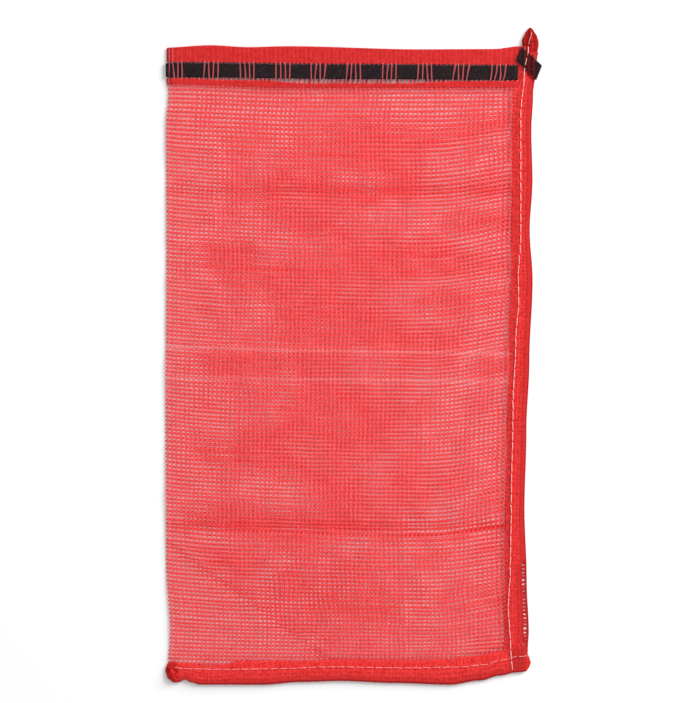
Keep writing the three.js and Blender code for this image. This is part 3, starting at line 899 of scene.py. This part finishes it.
def cover_hem(name, node, layers, length, width, spot, top, material):
    """Layers of net over a hem's pressed middle, or below it."""
    for number, (lift, slant) in enumerate(layers):
        mesh, along, across, height = net_patch(length, width, HEM_PITCH, 41 + number)
        map_flat(mesh, along, across)
        wander = HEM_WANDER * drift(along * WANDER_SCALE, across * WANDER_SCALE, 51 + number)
        along += slant * (across - width / 2) + wander
        along = np.clip(along, HEM_END_MARGIN, length - HEM_END_MARGIN) / length
        inward = across / width * (HEM_REACH + HEM_FRAY * wander)
        # painted shade, deepest at the folded edge
        folded = eased(EDGE_SHADE_SHARE, inward)
        if lift > 0:
            inward, height = over_the_edge(along, inward, height + lift, top)
        else:
            height += lift + HEM_FLOOR
        spots = spot(along, inward, height)
        # and painted shade in the corner where the hems overlap
        corner = eased(CORNER_ACROSS, spots[0]) * eased(CORNER_UP, spots[1])
        mark_points(mesh, "folded", np.maximum(folded, corner))
        piece(f"{name}_net_{number}", mesh, spots, material, node)


def make_bottom_hem():
    spot, top = bottom_strip(HEM_LEFT, HEM_RIGHT)
    press_layers("bottom_hem_layers", "bottom_hem", HEM_COLUMNS, spot, top, hem_layers)
    length = HEM_RIGHT - HEM_LEFT
    cover_hem("bottom_hem", "bottom_hem", HEM_LAYERS, length, HEM_WIDE, spot, top, hem_yarn)


make_bottom_hem()

# The knob: the left end of the bottom hem, where the corner below the fold is gathered up in
# wrinkles and more layers lie on each other; its darker red is their deeper colour and painted shade.
KNOB_LEFT, KNOB_RIGHT = -197.5, -183.0
KNOB_COLUMNS = 24
KNOB_HEIGHT = 0.6
KNOB_WRINKLE = 0.4
KNOB_WAVES = ((10, 8), (5, -9))       # radians in each wave of wrinkles, along the knob and inward
# darker than the hem: the deeper colour of more layers, and painted shade of the wrinkles
KNOB_SHADED_RED = (0.78, 0.03, 0.028, 1)
KNOB_SHADED_DEEP_RED = (0.36, 0.008, 0.007, 1)

knob_layers, knob_yarn = layered_net("knob", KNOB_SHADED_RED, KNOB_SHADED_DEEP_RED)


def gather_knob():
    spot, flat_top = bottom_strip(KNOB_LEFT, KNOB_RIGHT)

    def top(along, inward):
        bulge = np.sin(math.pi * along)
        wrinkles = sum(np.sin(run * along + rise * inward) for run, rise in KNOB_WAVES)
        return flat_top(along, inward) + bulge * (KNOB_HEIGHT + KNOB_WRINKLE * wrinkles)

    press_layers("knob_layers", "bottom_hem", KNOB_COLUMNS, spot, top, knob_layers)
    length = KNOB_RIGHT - KNOB_LEFT
    cover_hem("knob", "bottom_hem", HEM_LAYERS, length, HEM_WIDE, spot, top, knob_yarn)


gather_knob()

# The side hem: made as the bottom one is, up the right of the sack from inside the bottom hem to
# the mouth. Near its foot only the two lowest layers reach the outer edge, and show their holes.
SIDE_HEM_FOOT, SIDE_HEM_HEAD = -318.0, 320.0
SIDE_COLUMNS = 220
THIN_FOOT, THIN_HEAD = -306.0, -212.0
THIN_EDGE = ((THIN_FOOT, 0), (-298, 5.5), (-224, 5.5), (THIN_HEAD, 0))  # how far the others stop short
EDGE_LAYER = ((0.0, -0.2),)           # height and slant
TAIL_TIP = 344.5
SIDE_HEIGHT = ((318, HEM_HEIGHT), (TAIL_TIP, 2.6))


def side_strip(low, high, drawn_in=0):
    """The places and the heights of the strip of side hem between two levels."""
    def spot(along, inward, height):
        y = low + along * (high - low)
        inner, outer = eased(HEM_INNER, y), eased(HEM_OUTER, y) - drawn_in * eased(THIN_EDGE, y)
        return outer + inward * (inner - outer), y, height

    def top(along, inward):
        y = low + along * (high - low)
        return eased(SIDE_HEIGHT, y) * crown(inward)

    return spot, top


def make_side_hem():
    spot, top = side_strip(SIDE_HEM_FOOT, SIDE_HEM_HEAD)
    narrow_spot, _ = side_strip(SIDE_HEM_FOOT, SIDE_HEM_HEAD, 1)
    length = SIDE_HEM_HEAD - SIDE_HEM_FOOT
    press_layers("side_hem_layers", "side_hem", SIDE_COLUMNS, narrow_spot, top, hem_layers)
    upper, lowest = HEM_LAYERS[:-1], HEM_LAYERS[-1:]
    cover_hem("side_hem", "side_hem", lowest, length, HEM_WIDE, spot, top, hem_yarn)
    cover_hem("side_hem_upper", "side_hem", upper, length, HEM_WIDE, narrow_spot, top, hem_yarn)
    spot, top = side_strip(THIN_FOOT, THIN_HEAD)
    length = THIN_HEAD - THIN_FOOT
    cover_hem("side_hem_edge", "side_hem", EDGE_LAYER, length, HEM_WIDE, spot, top, hem_yarn)


make_side_hem()

# The tail: the side hem runs on past the mouth, rolled up tight to a rounded tip, and one layer of
# its net lies over the end of the drawstring, whose black shows through.
TAIL_FOOT = 316.0
TAIL_WIDE = 16.0
TAIL_COLUMNS = 16
TAIL_ROLL, TAIL_ROLLS = 0.4, 2        # height of the rolls across it, and how many there are
COVER_LEFT, COVER_RIGHT = 179.8, 188.4
COVER_LOW, COVER_HIGH = 297.5, 324.5  # at its left side; its right side hangs lower
COVER_SLOPE = -0.88
COVER_HEIGHT = ((0, 4.3), (4, 6.4), (23, 6.4), (27, 4.3))  # along it, over the tape in between
OVER_TAPE = ((1.5, 0), (3.5, 1), (23.5, 1), (25.5, 0))
COVER_PITCH = 4.2
# darker than the hem: the denser rolled cloth, and painted shade of the roll
TAIL_SHADED_RED = (0.5, 0.009, 0.008, 1)
TAIL_SHADED_DEEP_RED = (0.25, 0.004, 0.004, 1)
# painted darkening where the yarn lies over the tape, for the black seen through it
COVER_PAINTED_SHADE = (0.12, 0.006, 0.006, 1)
COVER_GLOW = (0.5, 0.02, 0.02, 1)

tail_layers, tail_yarn = layered_net("tail", TAIL_SHADED_RED, TAIL_SHADED_DEEP_RED)
cover_yarn = yarn_material("cover_yarn", TAIL_SHADED_RED, TAIL_SHADED_DEEP_RED, COVER_GLOW, HEM_CLEARNESS)
# painted darkening over the tape end
tint_where(cover_yarn, "over_tape", COVER_PAINTED_SHADE)


def roll_tail():
    spot, flat_top = side_strip(TAIL_FOOT, TAIL_TIP)

    def top(along, inward):
        rolls = np.cos(2 * math.pi * TAIL_ROLLS * inward)
        return flat_top(along, inward) + TAIL_ROLL * rolls

    press_layers("tail_layers", "side_hem", TAIL_COLUMNS, spot, top, tail_layers)
    length = TAIL_TIP - TAIL_FOOT
    cover_hem("tail", "side_hem", HEM_LAYERS, length, TAIL_WIDE, spot, top, tail_yarn)


def cover_tape_end():
    length, width = COVER_HIGH - COVER_LOW, COVER_RIGHT - COVER_LEFT
    mesh, along, across, height = net_patch(length, width, COVER_PITCH, 61)
    map_flat(mesh, along, across)
    # where the painted darkening over the tape goes
    mark_points(mesh, "over_tape", eased(OVER_TAPE, along))
    height += eased(COVER_HEIGHT, along)
    spots = COVER_LEFT + across, COVER_LOW + along + COVER_SLOPE * across, height
    piece("tape_end_cover", mesh, spots, cover_yarn, "side_hem")


roll_tail()
cover_tape_end()

# The seams: white thread sewn in long stitches down the side hem, along the bottom hem and over
# the tail, each stitch a twisted strand that dips into the cloth at both ends.
SIDE_SEAM = (                         # places along each seam, and how far aside it lies there
    (-330, 166.3), (-305, 164.5), (-263, 162.1), (-225, 164.2), (-158, 165.2), (-53, 167),
    (17, 170), (59, 173), (84, 172.6), (126, 175.2), (254, 175.2), (296, 178.9), (325, 183.3),
)
TAIL_SEAM = ((326, 183.5), (340, 186.5))
BOTTOM_SEAM = (
    (-189, -326.3), (-175, -327.8), (-135, -328.5), (-77, -327.8), (-25, -325.8), (49, -326.9),
    (110, -326.1), (134, -323.8), (158, -318.5), (170, -315.2), (182, -314.5),
)
SIDE_STITCH = 10.9
BOTTOM_STITCH = 9.9
SIDE_THREAD, TAIL_THREAD, BOTTOM_THREAD = 0.75, 0.5, 0.42
THREAD_SIDES, THREAD_STEPS = 6, 10
STITCH_DIP, STITCH_POWER = 1.8, 4     # how far its ends go in, and how sharply they turn down
STITCH_SLACK = 0.5
SIDE_SEAM_TOP = ((-330, 5.0), (286, 5.0), (294, 6.5), (318, 6.5), (326, 5.0))
BOTTOM_SEAM_TOP = ((-189, 5.3), (-175, 4.75), (100, 4.75), (182, 5.0))
THREAD_WHITE = (0.85, 0.55, 0.54, 1)
THREAD_SHADE = (0.8, 0.28, 0.28, 1)
THREAD_ROUGHNESS = 0.75
THREAD_GRAIN = 700

seam_thread, thread_shader = surface_material("seam_thread", THREAD_WHITE, THREAD_ROUGHNESS)
mottle(seam_thread, thread_shader, THREAD_SHADE, THREAD_WHITE, THREAD_GRAIN)


def sew(name, node, seam, pitch, top, thick, along_y):
    """A row of stitches along a seam."""
    start, end = seam[0][0], seam[-1][0]
    count = round((end - start) / pitch)
    step = (end - start) / count
    one = yarn(THREAD_SIDES, thick, thick, step, THREAD_STEPS)
    mesh = row_of(one, count, (step, 0, 0))
    along, aside, height = points_of(mesh)
    map_flat(mesh, along, aside)
    stitch = copy_numbers(mesh, count)
    share = (along - stitch * step) / step
    place = start + along + step / 2
    slack = np.random.default_rng(31).normal(0, STITCH_SLACK, count)[stitch]
    side = eased(seam, place) + aside + slack * share
    z = eased(top, place) + height - STITCH_DIP * np.abs(2 * share) ** STITCH_POWER
    spots = (side, place, z) if along_y else (place, side, z)
    piece(name, mesh, spots, seam_thread, node)


sew("side_seam", "side_stitches", SIDE_SEAM, SIDE_STITCH, SIDE_SEAM_TOP, SIDE_THREAD, True)
sew("tail_seam", "tail_stitches", TAIL_SEAM, SIDE_STITCH, SIDE_SEAM_TOP, TAIL_THREAD, True)
sew("bottom_seam", "bottom_stitches", BOTTOM_SEAM, BOTTOM_STITCH, BOTTOM_SEAM_TOP, BOTTOM_THREAD, False)
